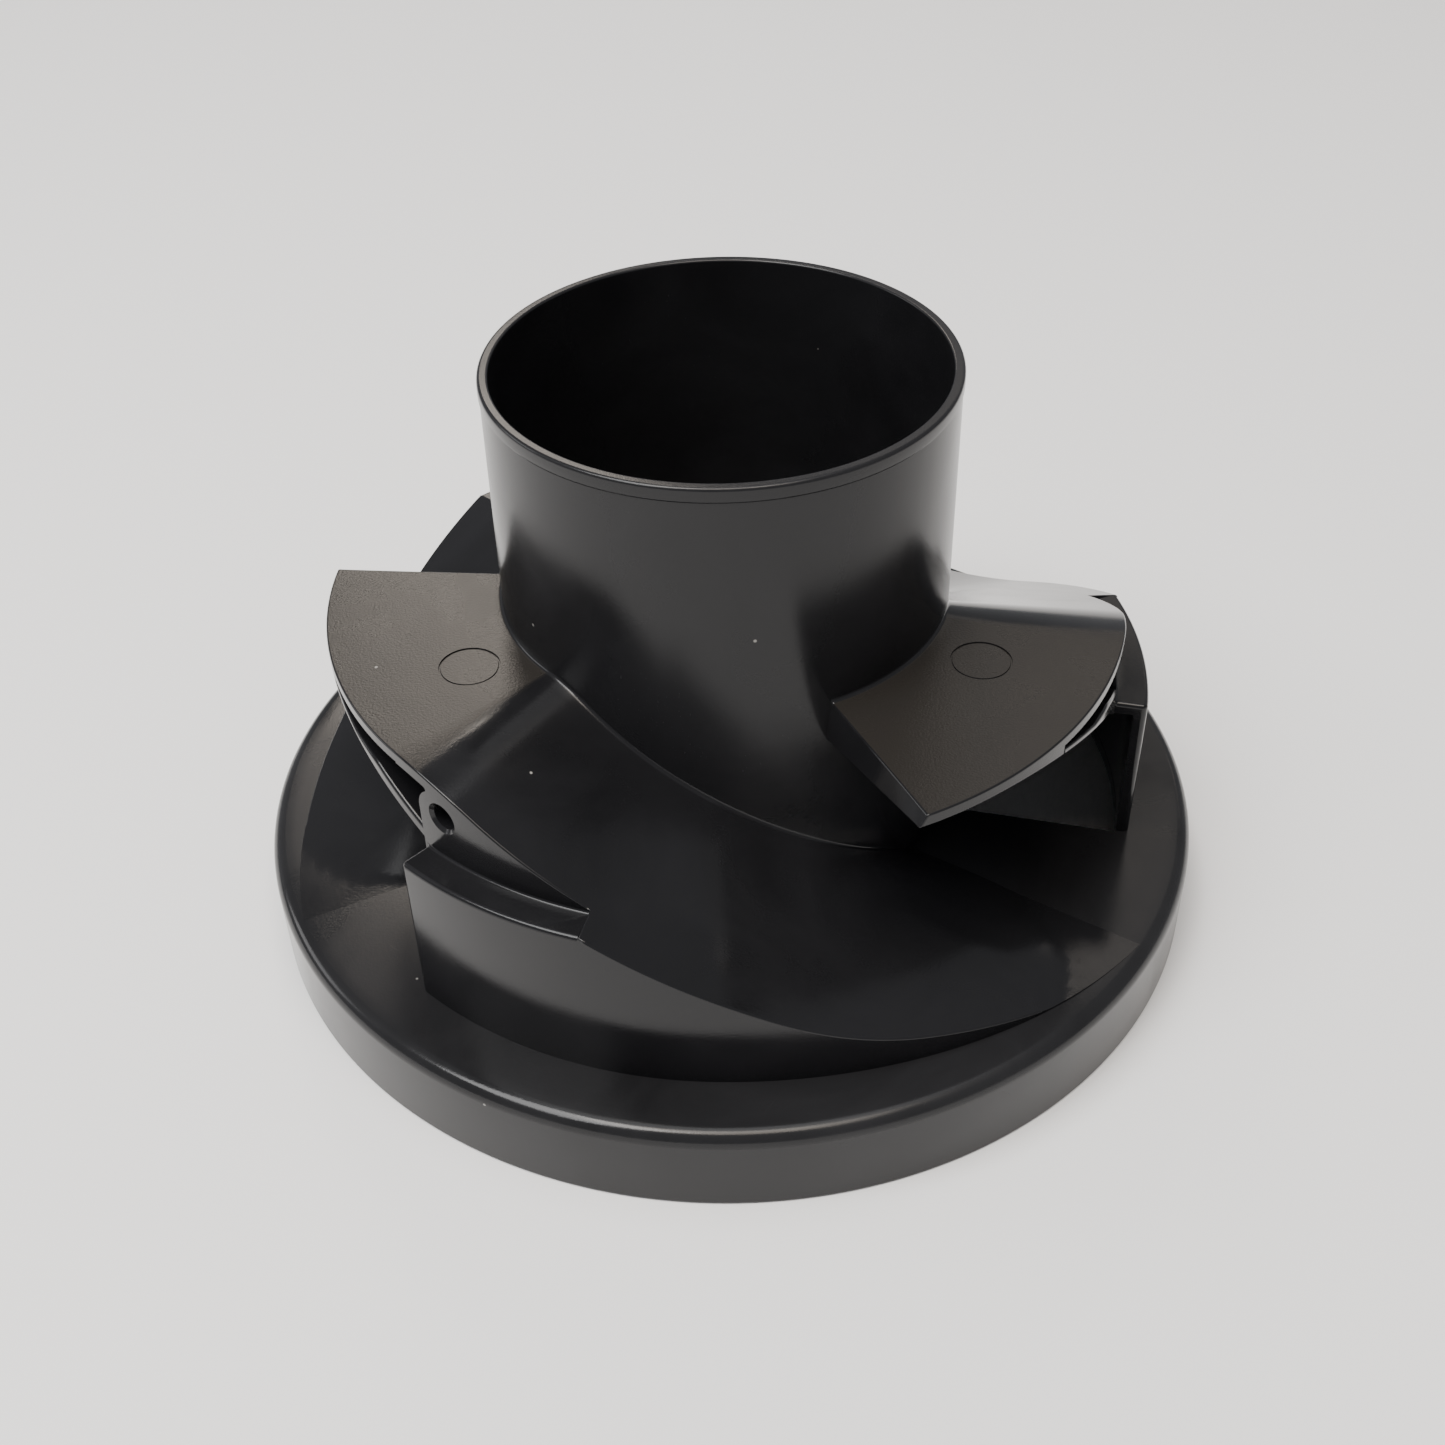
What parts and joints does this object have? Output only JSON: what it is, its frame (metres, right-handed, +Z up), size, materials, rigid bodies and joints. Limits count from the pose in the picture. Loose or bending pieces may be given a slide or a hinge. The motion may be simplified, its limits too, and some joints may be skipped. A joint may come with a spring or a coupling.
{
  "type": "swirl inlet body",
  "caption": "Round flanged base with a central outlet tube and helical blades that spin incoming air and lead it down through the flange.",
  "frame": {"origin": "centre of the skirt's lower edge, on the surface the part stands on", "axes": "+Z up along the outlet tube; the first blade's free end lies 5 degrees past -X, at azimuth 175 degrees, and the ramps fall anticlockwise seen from above"},
  "size_m": [0.168, 0.168, 0.1015],
  "materials": {
    "tube_plastic": "moulded black plastic, semi-gloss",
    "base_plastic": "moulded black plastic, semi-gloss with fine scratches",
    "ramp_plastic": "moulded black plastic, glossy",
    "blade_plastic": "moulded black plastic with fine satin texture"
  },
  "bodies": {
    "root": {"outlet_spigot": "tube_plastic", "spigot_bead": "tube_plastic", "core_tube": "tube_plastic", "flange_plate": "base_plastic", "rim_skirt": "base_plastic", "blade_1": "blade_plastic", "blade_2": "blade_plastic", "blade_3": "blade_plastic", "blade_underside_1": "ramp_plastic", "blade_underside_2": "ramp_plastic", "blade_underside_3": "ramp_plastic", "end_wall_1": "ramp_plastic", "end_wall_2": "ramp_plastic", "end_wall_3": "ramp_plastic", "side_web_1": "ramp_plastic", "side_web_2": "ramp_plastic", "side_web_3": "ramp_plastic", "screw_boss_1": "ramp_plastic", "screw_boss_2": "ramp_plastic", "screw_boss_3": "ramp_plastic", "ramp_1": "ramp_plastic", "ramp_2": "ramp_plastic", "ramp_3": "ramp_plastic", "wall_ledge_1": "ramp_plastic", "wall_ledge_2": "ramp_plastic", "wall_ledge_3": "ramp_plastic", "channel_wall_1": "ramp_plastic", "channel_wall_2": "ramp_plastic", "channel_wall_3": "ramp_plastic"}
  },
  "joints": []
}
